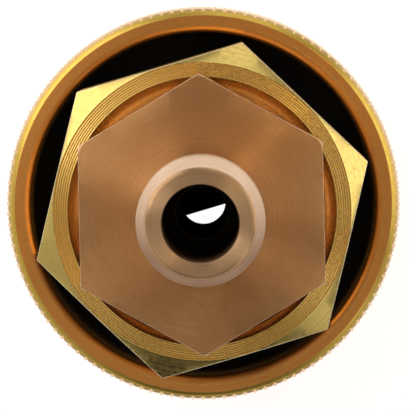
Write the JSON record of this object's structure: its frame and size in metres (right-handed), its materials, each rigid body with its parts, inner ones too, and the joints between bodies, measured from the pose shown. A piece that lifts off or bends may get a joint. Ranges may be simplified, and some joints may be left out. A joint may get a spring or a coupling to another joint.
{
  "type": "water pressure regulator",
  "caption": "In-line brass water pressure regulator: knurled swivel hose nut, hexagonal body with a spring-opened piston inside, and a hexagonal outlet fitting with a barbed hose tail.",
  "frame": {"origin": "centre of the swivel nut's mouth, at the bottom of the part", "axes": "+Z along the waterway from the inlet to the outlet; +X and +Y across it, with the body's hexagon turned 16.6 degrees from +X"},
  "size_m": [0.0346, 0.0346, 0.056],
  "materials": {
    "nut_brass": "turned and knurled, lightly tarnished",
    "body_brass": "bright drawn hexagon bar with a turned end face",
    "fitting_brass": "face turned with a fine circular grain, pinkish",
    "tail_brass": "turned",
    "piston_brass": "fine turned and polished",
    "stainless": "plain drawn stainless",
    "polished_steel": "polished",
    "black_rubber": "moulded, matt",
    "seal_rubber": "moulded, slightly greased",
    "black_nylon": "plain black nylon",
    "white_ptfe": "skived, waxy"
  },
  "bodies": {
    "housing": {"regulator_body": "body_brass", "inlet_tail": "tail_brass", "tail_oring": "seal_rubber", "stem_oring": "seal_rubber", "stem_backup_ring": "white_ptfe", "seat_holder": "tail_brass", "seat_disc": "seal_rubber", "seat_screw": "polished_steel", "outlet_fitting": "fitting_brass", "outlet_oring": "seal_rubber", "spring_shim": "stainless", "spring": "stainless"},
    "thrust_washer": {"thrust_washer": "black_nylon"},
    "swivel_nut": {"swivel_nut": "nut_brass", "hose_washer": "black_rubber", "screen_rim": "stainless", "screen_mesh": "stainless"},
    "piston": {"piston_stem": "piston_brass", "piston_head": "piston_brass", "head_oring": "seal_rubber", "head_backup_ring": "white_ptfe"}
  },
  "joints": [
    {"name": "swivel_float", "type": "slide", "parent": "housing", "child": "thrust_washer", "axis": [0, 0, 1], "range_m": [-0.00035, 0]},
    {"name": "swivel_spin", "type": "hinge", "parent": "thrust_washer", "child": "swivel_nut", "pos_m": [0, 0, 0.0105], "axis": [0, 0, 1], "continuous": true},
    {"name": "piston_slide", "type": "slide", "parent": "housing", "child": "piston", "axis": [0, 0, 1], "range_m": [-0.00115, 0], "stiffness_N_per_m": 600, "springref_m": 0.0015, "deforming": ["spring"]}
  ]
}
